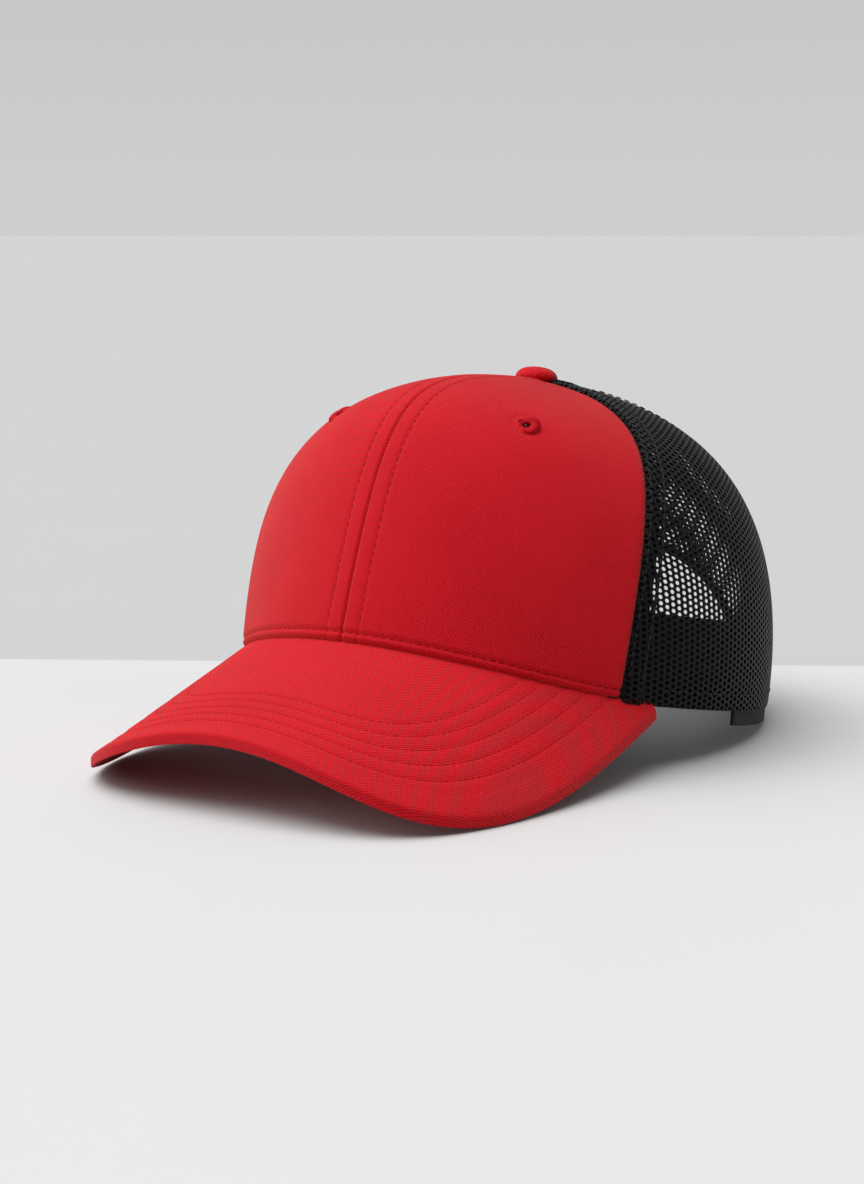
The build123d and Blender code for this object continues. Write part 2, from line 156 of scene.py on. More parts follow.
def bisect(test, low, high, shape):
    # the value between low and high where a test turns true, for many points at once
    low, high = np.full(shape, float(low)), np.full(shape, float(high))
    for _ in range(30):
        middle = (low + high) / 2
        hit = test(middle)
        low, high = np.where(hit, low, middle), np.where(hit, middle, high)
    return (low + high) / 2


def tAtHeight(angle, height):
    # the t at a height above the rim
    rim = rimHeight(angle)
    return bisect(lambda t: wallPoint(angle, t)[1] > rim + height, 0, 0.9, np.shape(angle))


def archPoint(turn, margin=0.0, depth=0.0):
    # a point of the rear opening's edge on the crown's wall; turn goes 0 to 180 over the arch
    x = (arch["halfWidth"] + margin) * np.cos(np.radians(turn))
    z = (arch["height"] + margin) * np.sin(np.radians(turn))
    z = np.maximum(z, crown["hemRear"] + crown["gap"])

    def tOf(angle):
        return bisect(lambda t: wallPoint(angle, t, depth)[1] > z, -0.05, 0.9, np.shape(x))

    def tooWide(angle):
        return crownPoint(angle, tOf(angle), depth)[..., 0] < np.abs(x)

    angle = bisect(tooWide, 120, 180, np.shape(x))
    point = crownPoint(angle, tOf(angle), depth)
    point[..., 0] *= np.sign(x)
    return point


# ---- materials


class Wire:
    # one socket of a material, for sums written as Python
    def __init__(self, recipe, socket):
        self.recipe, self.socket = recipe, socket

    def math(self, operation, *values):
        inputs = dict(enumerate((self, *values)))
        return self.recipe.add("ShaderNodeMath", {"operation": operation}, inputs)

    def __add__(self, other):
        return self.math("ADD", other)

    def __sub__(self, other):
        return self.math("SUBTRACT", other)

    def __rsub__(self, other):
        return (self * -1) + other

    def __mul__(self, other):
        return self.math("MULTIPLY", other)

    __radd__, __rmul__ = __add__, __mul__


class Recipe:
    def __init__(self, name, **fixed):
        self.material = bpy.data.materials.new(name)
        self.material.use_nodes = True
        self.tree = self.material.node_tree
        self.shader = self.tree.nodes["Principled BSDF"]
        for key, value in fixed.items():
            self.shader.inputs[key.replace("_", " ")].default_value = value

    def add(self, kind, settings, inputs, output=0):
        node = self.tree.nodes.new(kind)
        for key, value in settings.items():
            setattr(node, key, value)
        for key, value in inputs.items():
            if isinstance(value, Wire):
                self.tree.links.new(value.socket, node.inputs[key])
            else:
                node.inputs[key].default_value = value
        return Wire(self, node.outputs[output])

    def place(self, flat=True):
        # millimetres along the cloth, or in space where a piece has no pattern of its own
        kind = "UV" if flat else "Object"
        source = self.add("ShaderNodeTexCoord", {}, {}, kind)
        inputs = {0: source, "Scale": 1 / mm}
        return self.add("ShaderNodeVectorMath", {"operation": "SCALE"}, inputs)

    def split(self, place):
        node = self.add("ShaderNodeSeparateXYZ", {}, {0: place})
        outputs = node.socket.node.outputs
        return [Wire(self, outputs[k]) for k in range(3)]

    def noise(self, place, scale, detail=2.0, rough=0.5):
        return self.add("ShaderNodeTexNoise", {}, {
            "Vector": place, "Scale": scale, "Detail": detail, "Roughness": rough})

    def mix(self, mask, one, two):
        settings = {"data_type": "RGBA", "clamp_factor": True}
        return self.add("ShaderNodeMix", settings, {0: mask, 6: (*one, 1), 7: (*two, 1)}, 2)

    def colour(self, wire):
        self.tree.links.new(wire.socket, self.shader.inputs["Base Color"])

    def roughness(self, wire):
        self.tree.links.new(wire.socket, self.shader.inputs["Roughness"])

    def bump(self, height, distance, strength=1.0):
        wire = self.add("ShaderNodeBump", {}, {
            "Height": height, "Distance": distance * mm, "Strength": strength})
        self.tree.links.new(wire.socket, self.shader.inputs["Normal"])


def wave(wire, pitch):
    return (wire * (2 * math.pi / pitch)).math("SINE")


def pique(name, colour, deep, pitch):
    # fine raised diamonds in offset rows, with a soft haze of fibre; the colour is painted darker
    # in the low ground between the diamonds as painted shade, and varies at random with the fibre
    # and in patches
    recipe = Recipe(name, Roughness=0.82, Sheen_Weight=0.2, Sheen_Roughness=0.4)
    recipe.shader.inputs["Sheen Tint"].default_value = (1.0, 0.6, 0.5, 1)
    recipe.shader.inputs["Specular IOR Level"].default_value = 0.15
    place = recipe.place()
    u, v, _ = recipe.split(place)
    sway = recipe.noise(place, 0.25, 2.0) * 0.5
    dots = (wave(u + v * 0.9 + sway, pitch) + wave(u - v * 0.9 + sway, pitch)) * 0.5
    fuzz = recipe.noise(place, 2.4, 3.0, 0.65)
    patch = recipe.noise(place, 0.035, 2.0)
    height = dots * 0.6 + fuzz * 0.35
    # painted shade: the dips between the diamonds take the darker colour; fuzz and patch are the
    # cloth's own random tone
    mask = dots * 0.55 + 0.42 + (fuzz - 0.5) * 0.6 + (patch - 0.5) * 0.35
    recipe.colour(recipe.mix(mask, deep, colour))
    recipe.bump(height, 0.2, 0.9)
    recipe.roughness(0.88 - fuzz * 0.12)
    return recipe.material


def twill(name, colour, deep, pitch, lean=1.0, roughness=0.8, sheen=0.2, depth=0.14):
    recipe = Recipe(name, Roughness=roughness, Sheen_Weight=sheen, Sheen_Roughness=0.4)
    recipe.shader.inputs["Specular IOR Level"].default_value = 0.3
    place = recipe.place()
    u, v, _ = recipe.split(place)
    ribs = wave(u * lean + v, pitch)
    cross = wave(u - v * lean, pitch * 0.55)
    fuzz = recipe.noise(place, 2.7, 3.0, 0.6)
    # the ribs are painted darker in their grooves as painted shade; the fuzz adds the fibre's own
    # random tone
    recipe.colour(recipe.mix(ribs * 0.3 + 0.35 + fuzz * 0.3, deep, colour))
    recipe.bump(ribs * 0.5 + cross * 0.2 + fuzz * 0.35, depth, 0.9)
    recipe.roughness(roughness + 0.06 - fuzz * 0.12)
    return recipe.material


def yarn(name, colour, deep, roughness=0.5, shine=0.3, sheen=0.0):
    # thread and knitted strands: fine twist lines in space, painted darker in the twist's grooves
    # as painted shade, with fibre tone at random
    recipe = Recipe(name, Roughness=roughness, Sheen_Weight=sheen, Sheen_Roughness=0.3)
    recipe.shader.inputs["Specular IOR Level"].default_value = shine
    place = recipe.place(flat=False)
    u, v, w = recipe.split(place)
    twist = wave(u + v * 0.7 + w * 1.3, 0.42)
    fuzz = recipe.noise(place, 2.2, 2.0, 0.6)
    recipe.colour(recipe.mix(twist * 0.25 + 0.2 + fuzz * 0.6, deep, colour))
    recipe.bump(twist * 0.4 + fuzz * 0.5, 0.09, 0.8)
    recipe.roughness(roughness + 0.08 - fuzz * 0.16)
    return recipe.material


def satin(name, colour, roughness, metallic=0.0, grain=0.35):
    recipe = Recipe(name, Roughness=roughness, Metallic=metallic)
    place = recipe.place(flat=False)
    grainy = recipe.noise(place, 1.9, 3.0, 0.6)
    cloudy = recipe.noise(place, 0.08, 2.0)
    darker = tuple(c * 0.8 for c in colour)
    recipe.colour(recipe.mix(grainy * 0.6 + cloudy * 0.4, darker, colour))
    recipe.roughness(cloudy * 0.12 + grainy * grain * 0.3 + (roughness - 0.1))
    recipe.bump(grainy, 0.03, 0.5)
    return recipe.material


# each fabric's and yarn's second colour is its darker tone: painted shade in the grooves of its
# weave or twist, and darker fibres at random
redCloth = pique("redCloth", (0.78, 0.008, 0.020), (0.42, 0.001, 0.006), 1.0)
# the visor's underside cloth is a darker copy of the top cloth: painted shade for the side that
# faces down
redUnder = pique("redUnderCloth", (0.70, 0.005, 0.018), (0.36, 0.001, 0.006), 1.0)
# the front panels' thread is given the cloth's dark tone: painted shade for the stitch rows sunk
# in their dips
redThread = yarn("redThread", (0.42, 0.002, 0.010), (0.18, 0.001, 0.004), 0.6, 0.12)
visorThread = yarn("visorThread", (0.66, 0.004, 0.016), (0.36, 0.001, 0.006), 0.6, 0.12)
blackMesh = yarn("blackMesh", (0.0055, 0.0055, 0.006), (0.0015, 0.0015, 0.0017),
                 roughness=0.45, shine=0.15, sheen=0.06)
blackThread = yarn("blackThread", (0.018, 0.018, 0.019), (0.006, 0.006, 0.007), 0.5)
blackTape = twill("blackTape", (0.012, 0.012, 0.013), (0.004, 0.004, 0.005), 0.8, lean=0.35,
                  sheen=0.1)
bandCloth = twill("sweatbandCloth", (0.014, 0.014, 0.015), (0.005, 0.005, 0.006), 1.0, sheen=0.15)
buckram = twill("buckram", (0.72, 0.70, 0.64), (0.40, 0.38, 0.33), 1.4, lean=0.0, depth=0.2)
strapPlastic = satin("strapPlastic", (0.020, 0.020, 0.021), 0.42)
steel = satin("stampedSteel", (0.62, 0.62, 0.64), 0.36, metallic=1.0)
boardPlastic = satin("visorBoard", (0.85, 0.85, 0.83), 0.5)
print("materials made")

# ---- making pieces


def grid(across, along):
    # a flat pattern from 0 to 1 both ways
    bm = bmesh.new()
    bmesh.ops.create_grid(bm, x_segments=across, y_segments=along, size=0.5)
    bmesh.ops.translate(bm, verts=bm.verts, vec=(0.5, 0.5, 0))
    return bm


def lay(bm, where, size=None):
    # carries each vertex of a flat pattern to its place; size gives the cloth's flat millimetres,
    # or works them out for each vertex
    bm.verts.index_update()
    flat = np.array([vert.co for vert in bm.verts])
    if size is not None:
        if callable(size):
            u, v = size(flat[:, 0], flat[:, 1])
        else:
            u, v = flat[:, 0] * size[0], flat[:, 1] * size[1]
        weave = bm.loops.layers.uv.new("cloth")
        for face in bm.faces:
            for loop in face.loops:
                k = loop.vert.index
                loop[weave].uv = (u[k] * mm, v[k] * mm)
    for vert, point in zip(bm.verts, where(flat[:, 0], flat[:, 1])):
        vert.co = Vector(point) * mm
    return bm


def otherSide(bm):
    twin = bm.copy()
    bmesh.ops.scale(twin, verts=twin.verts, vec=(-1, 1, 1))
    bmesh.ops.reverse_faces(twin, faces=twin.faces)
    return twin


def finishPiece(name, bm, material, nodes=(), wall=0.0):
    # turns a bmesh into a visible piece of the crown's body; wall is its thickness, inwards
    mesh = bpy.data.meshes.new(name)
    bm.to_mesh(mesh)
    bm.free()
    for polygon in mesh.polygons:
        polygon.use_smooth = True
    piece = bpy.data.objects.new(name, mesh)
    bpy.context.scene.collection.objects.link(piece)
    mesh.materials.append(material)
    if wall:
        solid = piece.modifiers.new("wall", "SOLIDIFY")
        solid.thickness, solid.offset = wall * mm, -1.0
        solid.use_even_offset = False
    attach(piece, "crown")
    if nodes:
        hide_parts(*nodes)
    return piece


def finishPair(name, bm, material, node=None, wall=0.0):
    twin = otherSide(bm)
    made = []
    for side, half in (("left", bm), ("right", twin)):
        nodes = [f"{node}_{side}"] if node else ()
        made.append(finishPiece(f"{name}_{side}", half, material, nodes, wall))
    return made


def bumpAt(distance, place, width):
    return np.exp(-(((distance - place) / width) ** 2))


def stitchRow(bm, points, normals, look):
    # small rounded stitches along a line, each lying in the cloth
    run = np.concatenate([[0], np.cumsum(np.linalg.norm(np.diff(points, axis=0), axis=1))])
    count = max(int(run[-1] / look["pitch"]), 1)
    middles = (np.arange(count) + 0.5) * run[-1] / count
    here = np.stack([np.interp(middles, run, points[:, k]) for k in range(3)], axis=1)
    ahead = np.stack([np.interp(middles + 0.5, run, points[:, k]) for k in range(3)], axis=1)
    behind = np.stack([np.interp(middles - 0.5, run, points[:, k]) for k in range(3)], axis=1)
    up = np.stack([np.interp(middles, run, normals[:, k]) for k in range(3)], axis=1)
    for place, forward, normal in zip(here, ahead - behind, up):
        x = Vector(forward).normalized()
        z = (Vector(normal) - x * x.dot(Vector(normal))).normalized()
        y = z.cross(x)
        turn = Matrix((x, y, z)).transposed().to_4x4()
        size = Matrix.Diagonal((look["length"] / 2, look["width"] / 2, look["height"] / 2, 1))
        put = Matrix.Translation(Vector(place) * mm) @ turn @ size @ Matrix.Scale(mm, 4)
        bmesh.ops.create_uvsphere(bm, u_segments=6, v_segments=4, radius=1,
                                  matrix=put @ Matrix.Rotation(math.pi / 2, 4, "Y"))


def crownRow(bm, angle, t, depth, look, both=True):
    # a row of stitches on the crown, and its twin on the other side
    points = crownPoint(angle, t, depth)
    normals = crownPoint(angle, t, depth - 1.0) - points
    stitchRow(bm, points, normals, look)
    if both:
        flip = np.array([-1, 1, 1])
        stitchRow(bm, points * flip, normals * flip, look)


# ---- front panels

front = {
    "cells": (130, 170), "crowd": (1.25, 1.6), "seamDip": 0.8, "seamWidth": 0.55,
    "seamPuff": 0.07, "rowPlace": 6.0, "rowDip": 0.3, "rowWidth": 0.6, "sideDip": 1.0,
    "sideWidth": 1.1, "sidePuff": 0.15, "bottomDip": 2.3, "bottomWidth": 1.5, "bottomRow": 3.8,
    "bottomRowDip": 0.6, "bottomRowWidth": 0.7, "ripple": 0.10, "wall": 1.0,
    "flat": (0.092, 0.150), "area": 0.0112,
}
lining = {"cells": (110, 130), "behind": 1.3, "deepest": 1.9, "hole": 3.0, "wall": 0.7}
eyelet = {
    "angle": 38.0, "t": 0.493, "radius": 4.5, "hole": 1.25, "threads": 44, "threadWidth": 0.36,
    "threadHeight": 0.72, "sink": 0.35, "coreSink": 0.9, "coreSize": (1.5, 1, 0.75), "cut": 2.6,
    "dimple": 0.35,
}
eyeletPoint = crownPoint(eyelet["angle"], eyelet["t"])


def heightOnWall(angle, t):
    return wallPoint(angle, t)[1] - rimHeight(angle)


def frontDepth(angle, t):
    point = crownPoint(angle, t)
    x = np.abs(point[..., 0])
    toSide = np.radians(seamAngle(crown["frontSeam"], t) - angle) * np.hypot(
        point[..., 0], point[..., 1] - crown["buttonY"])
    up = heightOnWall(angle, t)
    fromEye = np.linalg.norm(point - eyeletPoint, axis=-1)
    depth = front["seamDip"] * bumpAt(x, 0, front["seamWidth"])
    depth = depth - front["seamPuff"] * bumpAt(x, 3.2, 2.2)
    depth = depth + front["rowDip"] * bumpAt(x, front["rowPlace"], front["rowWidth"])
    depth = depth + front["sideDip"] * bumpAt(toSide, 0, front["sideWidth"])
    depth = depth - front["sidePuff"] * bumpAt(toSide, 4.0, 3.0)
    depth = depth + front["bottomDip"] * bumpAt(up, 0, front["bottomWidth"])
    depth = depth + front["bottomRowDip"] * bumpAt(up, front["bottomRow"], front["bottomRowWidth"])
    depth = depth + eyelet["dimple"] * bumpAt(fromEye, eyelet["radius"] + 0.3, 0.9) * (t > 0.1)
    ripple = np.sin(angle * 0.21 + 4 * t) * np.sin(9 * t + angle * 0.06)
    return depth + front["ripple"] * ripple


def frontPlace(u, v):
    # cells crowd towards the centre seam and the rim, where the sewn rows are
    share, t = u ** front["crowd"][0], v ** front["crowd"][1] * crown["topT"]
    return share, t


def frontWhere(extra=0.0, deepest=9.0):
    def where(u, v):
        share, t = frontPlace(u, v)
        angle = share * seamAngle(crown["frontSeam"], t)
        return crownPoint(angle, t, np.minimum(frontDepth(angle, t), deepest) + extra)
    return where


def frontFlat(u, v):
    # millimetres of cloth out from the centre seam and up from the rim
    ts = np.linspace(0, crown["topT"], 80)
    share = np.linspace(0, 1, 25)
    rows = crownPoint(seamAngle(crown["frontSeam"], ts)[:, None] * share, ts[:, None])
    widths = np.linalg.norm(np.diff(rows, axis=1), axis=2).sum(axis=1)
    rises = np.concatenate([[0], np.cumsum(np.linalg.norm(np.diff(rows[:, 0], axis=0), axis=1))])
    across, t = frontPlace(u, v)
    return across * np.interp(t, ts, widths), np.interp(t, ts, rises)


def openEyelet(bm, radius):
    centre = Vector(eyeletPoint) * mm
    gone = [f for f in bm.faces if (f.calc_center_median() - centre).length < radius * mm]
    bmesh.ops.delete(bm, geom=gone, context="FACES")


bm = lay(grid(*front["cells"]), frontWhere(), frontFlat)
openEyelet(bm, eyelet["cut"])
frontPanels = finishPair("front_cloth", bm, redCloth, "front_panel", front["wall"])
bm = lay(grid(*lining["cells"]), frontWhere(lining["behind"], lining["deepest"]), frontFlat)
openEyelet(bm, lining["hole"])
linings = finishPair("front_buckram", bm, buckram, "front_stiffener", lining["wall"])

# embroidered eyelets: a ring of thread wound through the cloth
axisUp = crownPoint(eyelet["angle"], eyelet["t"], -1.0) - eyeletPoint
ring = bmesh.new()
count = eyelet["threads"]
for k in range(count):
    turn = Matrix.Rotation(2 * math.pi * k / count, 4, "Z")
    middle = (eyelet["radius"] + eyelet["hole"]) / 2
    half = (eyelet["radius"] - eyelet["hole"]) / 2
    put = turn @ Matrix.Translation((middle, 0, -eyelet["sink"])) @ Matrix.Diagonal(
        (half, eyelet["threadWidth"], eyelet["threadHeight"], 1))
    bmesh.ops.create_uvsphere(ring, u_segments=8, v_segments=6, radius=1,
                              matrix=put @ Matrix.Rotation(math.pi / 2, 4, "Y"))
spun = bmesh.new()
bmesh.ops.create_circle(spun, cap_ends=False, radius=1.0, segments=14, matrix=Matrix.Translation(
    ((eyelet["radius"] + eyelet["hole"]) / 2, 0, -eyelet["coreSink"]))
    @ Matrix.Diagonal((*eyelet["coreSize"], 1)) @ Matrix.Rotation(math.pi / 2, 4, "X"))
bmesh.ops.spin(spun, geom=spun.verts[:] + spun.edges[:], cent=(0, 0, 0), axis=(0, 0, 1),
               angle=2 * math.pi, steps=48, use_merge=True)
bmesh.ops.remove_doubles(spun, verts=spun.verts, dist=0.0001)
bmesh.ops.recalc_face_normals(spun, faces=spun.faces)
spunMesh = bpy.data.meshes.new("eyeletCore")
spun.to_mesh(spunMesh)
spun.free()
ring.from_mesh(spunMesh)
bpy.data.meshes.remove(spunMesh)
stand = Vector(axisUp).to_track_quat("Z", "Y").to_matrix().to_4x4()
bmesh.ops.transform(ring, verts=ring.verts, matrix=Matrix.Translation(
    Vector(eyeletPoint) * mm) @ stand @ Matrix.Scale(mm, 4))
finishPair("eyelet_thread", ring, visorThread, "eyelet")
print("front panels made")

# ---- mesh panels

net = {
    "column": 2.65, "row": 2.12, "strand": 0.34, "point": 0.36, "hole": (0.98, 0.76),
    "rounding": 0.65, "seamDip": 1.2, "seamWidth": 0.8, "foldRise": 0.55, "foldWidth": 0.28,
    "rimDip": 0.25, "wall": 0.6,
}
arch = {
    "halfWidth": 45.0, "height": 51.0, "cut": 1.6, "binding": 4.0, "bindingSquare": 0.6,
    "bindingMiddle": 0.5,
}
fold = {"front": 7.0, "rear": 5.0, "half": 0.62, "height": 0.5, "top": 0.93}


def meshDepth(fromSeams):
    # the mesh turns in at a seam and stands up over the folded edge beside it
    depth = 0.0
    for distance, width in fromSeams:
        inside = 1 / (1 + np.exp(np.clip((distance - width) / net["foldWidth"], -30, 30)))
        depth = depth + net["seamDip"] * bumpAt(distance, 0, net["seamWidth"])
        depth = depth - net["foldRise"] * inside
    return depth


def netPattern(width, height):
    # staggered six-sided openings, rounded inside
    columns, rows = int(width / net["column"]) + 2, int(height / net["row"]) + 1
    dx, dy = net["column"], net["row"] / 2
    bm = bmesh.new()
    bmesh.ops.create_grid(bm, x_segments=columns, y_segments=2 * rows, size=0.5)
    bmesh.ops.translate(bm, verts=bm.verts, vec=(0.5, 0.5, 0))
    bmesh.ops.scale(bm, verts=bm.verts, vec=(columns * dx, 2 * rows * dy, 1))
    joined = []
    for edge in bm.edges:
        p, q = edge.verts[0].co, edge.verts[1].co
        if abs(p.y - q.y) < 0.01 and len(edge.link_faces) == 2:
            i, j = int((p.x + q.x) / 2 / dx), round(p.y / dy)
            if (i + j) % 2:
                joined.append(edge)
    bmesh.ops.dissolve_edges(bm, edges=joined, use_verts=False, use_face_split=False)
    for vert in bm.verts:
        i, j = round(vert.co.x / dx), round(vert.co.y / dy)
        vert.co.x += net["point"] if (i + j) % 2 == 0 else -net["point"]
    bmesh.ops.subdivide_edges(bm, edges=bm.edges[:], cuts=1)
    cells = bm.faces[:]
    bmesh.ops.inset_individual(bm, faces=cells, thickness=net["strand"], use_even_offset=True)
    for cell in cells:
        centre = cell.calc_center_median()
        for vert in cell.verts:
            turn = math.atan2(vert.co.y - centre.y, vert.co.x - centre.x)
            rounded = centre + Vector(
                (net["hole"][0] * math.cos(turn), net["hole"][1] * math.sin(turn), 0))
            vert.co = vert.co * (1 - net["rounding"]) + rounded * net["rounding"]
    bmesh.ops.delete(bm, geom=cells, context="FACES_ONLY")
    bmesh.ops.translate(bm, verts=bm.verts, vec=(-columns * dx / 2, 0, 0))
    return bm


def meshPanel(name, node, ahead, behind, folds, archCut):
    ts = np.linspace(0, crown["topT"], 60)
    share = np.linspace(0, 1, 25)
    low, high = ahead(ts), behind(ts)
    rows = crownPoint(low[:, None] + (high - low)[:, None] * share, ts[:, None])
    middle = rows[:, 12]
    lengths = np.concatenate([[0], np.cumsum(np.linalg.norm(np.diff(middle, axis=0), axis=1))])
    widths = np.linalg.norm(np.diff(rows, axis=1), axis=2).sum(axis=1)
    bm = netPattern(widths.max(), lengths[-1])

    # cut the flat net to the panel's shape, then carry it on to the crown
    for vert in bm.verts:
        half = np.interp(vert.co.y, lengths, widths) / 2
        vert.co.x /= half
    for axis, place in (((1, 0, 0), 1.0), ((-1, 0, 0), 1.0), ((0, 1, 0), lengths[-1] - 0.01)):
        everything = bm.verts[:] + bm.edges[:] + bm.faces[:]
        bmesh.ops.bisect_plane(bm, geom=everything, plane_co=Vector(axis) * place, plane_no=axis,
                               clear_outer=True, dist=0.0001)

    def where(q, along):
        t = np.interp(along, lengths, ts)
        first, last = ahead(t), behind(t)
        angle = first + (last - first) * (q + 1) / 2
        half = np.interp(along, lengths, widths) / 2
        seams = [((1 + q) * half, folds[0]), ((1 - q) * half, folds[1])]
        edge = np.clip(heightOnWall(angle, t), 0, None)
        return crownPoint(angle, t, meshDepth(seams) + net["rimDip"] * bumpAt(edge, 0, 1.0))

    lay(bm, where)
    if archCut:
        wide, tall = ((arch[key] + arch["cut"]) * mm for key in ("halfWidth", "height"))
        gone = []
        for face in bm.faces:
            centre = face.calc_center_median()
            if (centre.x / wide) ** 2 + (centre.z / tall) ** 2 < 1:
                gone.append(face)
        bmesh.ops.delete(bm, geom=gone, context="FACES")
    finishPair(name, bm, blackMesh, node, net["wall"])


def frontSeamAt(t):
    return seamAngle(crown["frontSeam"], t)


def rearSeamAt(t):
    return seamAngle(crown["rearSeam"], t)


def backAt(t):
    return 180.0 + 0 * t


def foldAlong(name, angleAt, offset):
    # the folded edge of the doubled mesh stands up as a thin rib beside a seam
    def where(u, v):
        t = fold["top"] * v
        turn = 2 * math.pi * u
        centre = crownPoint(angleAt(t), t)
        size = np.maximum(np.hypot(centre[:, 0], centre[:, 1] - crown["buttonY"]), 5)
        squeeze = np.clip(size / 40, 0.2, 1)
        angle = angleAt(t) + np.degrees((offset * squeeze + fold["half"] * np.cos(turn)) / size)
        wiggle = 0.08 * np.sin(v * 190)
        depth = 0.05 - (fold["height"] + wiggle) * np.sin(turn)
        return crownPoint(np.minimum(angle, 180), t, depth)

    rib = lay(grid(8, 170), where)
    bmesh.ops.remove_doubles(rib, verts=rib.verts, dist=0.00001)
    bmesh.ops.holes_fill(rib, edges=[e for e in rib.edges if e.is_boundary], sides=12)
    bmesh.ops.recalc_face_normals(rib, faces=rib.faces)
    finishPair(name, rib, blackMesh)


foldAlong("front_seam_rib", frontSeamAt, fold["front"])
foldAlong("rear_seam_rib", rearSeamAt, fold["rear"])
foldAlong("rear_seam_rib_ahead", rearSeamAt, -fold["rear"])
meshPanel("side_net", "side_mesh", frontSeamAt, rearSeamAt, (fold["front"], fold["rear"]), False)
meshPanel("rear_net", "rear_mesh", rearSeamAt, backAt, (fold["rear"], fold["rear"]), True)
print("mesh panels made")

# ---- tapes inside the seams, hems and the arch binding

tape = {
    "depth": 1.15, "half": 6.0, "narrow": 4.5, "curl": 0.25, "wall": 0.55, "length": 130.0,
    "start": 0.012, "shortTop": 0.84,
}


def tapeAlong(name, nodes, angleAt, half, tLow, tHigh, pair):
    def where(u, v):
        t = tLow + (tHigh - tLow) * v
        angle = angleAt(t)
        centre = crownPoint(angle, t)
        size = np.hypot(centre[:, 0], centre[:, 1] - crown["buttonY"])
        angle = angle + np.degrees((u * 2 - 1) * half / np.maximum(size, 8))
        flipped = crownPoint(np.where(angle > 180, 360 - angle, np.abs(angle)), t,
                             tape["depth"] + tape["curl"] * (u * 2 - 1) ** 2)
        sign = np.where((angle > 180) | (angle < 0), -1.0, 1.0)
        return flipped * np.stack([sign, sign * 0 + 1, sign * 0 + 1], axis=-1)

    bm = lay(grid(10, 90), where, (2 * half, tape["length"]))
    if pair:
        finishPair(name, bm, blackTape, nodes, tape["wall"])
    else:
        finishPiece(name, bm, blackTape, [nodes], tape["wall"])


tapeAlong("front_side_seam_tape", "front_side_tape", frontSeamAt,
          tape["half"], tape["start"], 0.91, True)
tapeAlong("rear_side_seam_tape", "rear_side_tape", rearSeamAt,
          tape["narrow"], tape["start"], tape["shortTop"], True)
tapeAlong("front_centre_seam_tape", "front_centre_tape", lambda t: 0 * t,
          tape["half"], 0.02, 0.92, False)
bindingTop = arch["height"] + arch["binding"]
archTop = float(bisect(lambda t: wallPoint(180.0, t)[1] > bindingTop, 0, 0.9, ()))
tapeAlong("rear_centre_seam_tape", "rear_centre_tape", backAt,
          tape["half"], archTop + 0.005, tape["shortTop"], False)

hem = {
    "depth": 1.0, "roll": 0.2, "height": 7.0, "turnUp": 0.4, "drop": 5.0, "start": 56.0,
    "step": 91.0, "wall": 0.8,
}
archOut = arch["halfWidth"] + arch["binding"] + 0.2
archEnd = float(bisect(lambda s: crownPoint(s, 0.0)[0] < archOut, 100, 180, ()))


def hemWhere(first, last, drop):
    def where(u, v):
        angle = first + (last - first) * u
        t = tAtHeight(angle, hem["height"] * v)
        point = crownPoint(angle, t, hem["depth"] + hem["roll"] * bumpAt(v, 0.0, 0.12))
        rim, share = rimHeight(angle), v / hem["turnUp"]
        lower = np.maximum(rim - drop, 0.0) * (1 - share)
        lower = lower + (rim + hem["height"] * hem["turnUp"]) * share
        point[:, 2] = np.where(v < hem["turnUp"], lower, point[:, 2])
        return point
    return where


bm = lay(grid(36, 10), hemWhere(hem["start"], hem["step"], 0.0), (54.0, hem["height"]))
finishPair("side_hem", bm, blackTape, "side_hem_tape", hem["wall"])
bm = lay(grid(60, 12), hemWhere(hem["step"], archEnd, hem["drop"]), (100.0, 11.0))
finishPair("rear_hem", bm, blackTape, "rear_hem_tape", hem["wall"])


def bindingWhere(u, v):
    # a folded strip round the arch: u goes round its section, v along the arch
    turn = 180 * v
    section = 2 * math.pi * u
    square = arch["bindingSquare"]
    wide = np.sign(np.cos(section)) * np.abs(np.cos(section)) ** square
    deep = np.sign(np.sin(section)) * np.abs(np.sin(section)) ** square
    half = arch["binding"] / 2
    return archPoint(turn, half + half * wide, arch["bindingMiddle"] - deep)


bm = lay(grid(20, 110), bindingWhere, (10.0, 150.0))
bmesh.ops.remove_doubles(bm, verts=bm.verts, dist=0.00002)
bmesh.ops.holes_fill(bm, edges=[e for e in bm.edges if e.is_boundary], sides=40)
bmesh.ops.recalc_face_normals(bm, faces=bm.faces)
finishPiece("arch_edge", bm, blackTape, ["arch_binding"])

# sweatband: a strip of twill folded over at the top, round the inside of the rim
band = {
    "depth": 4.05, "height": 30.0, "end": 141.0, "puff": 0.25, "ripple": 0.12, "ridge": 0.3,
    "wall": 1.1, "flat": (0.52, 0.03),
}


def bandWhere(u, v):
    side = np.where(u < 0.5, -1.0, 1.0)
    angle = np.abs(u * 2 - 1) * band["end"]
    t = tAtHeight(angle, band["height"] * np.clip(v, 0.0, 1.0))
    puff = band["puff"] * np.sin(v * math.pi) + band["ripple"] * np.sin(angle * 0.35) * v
    puff = puff + band["ridge"] * bumpAt(v, 0.93, 0.03)
    point = crownPoint(angle, t, band["depth"] + puff)
    point[:, 0] *= side
    return point


bm = lay(grid(220, 24), bandWhere, (520.0, 30.0))
innerBand = finishPiece("inner_band", bm, bandCloth, ["sweatband"],
                        band["wall"])
print("tapes and bands made")

# ---- visor


def visorPoint(x, y, drop):
    # a point below the visor's top by a drop
    return np.stack([x, y + crown["buttonY"], visorTop(x, y) - drop], axis=-1)


def visorDip(x, y):
    inside = visorMargin(x, y)
    return sum(bumpAt(inside, row, visor["rowWidth"]) for row in visor["rows"]) * visor["rowDip"]


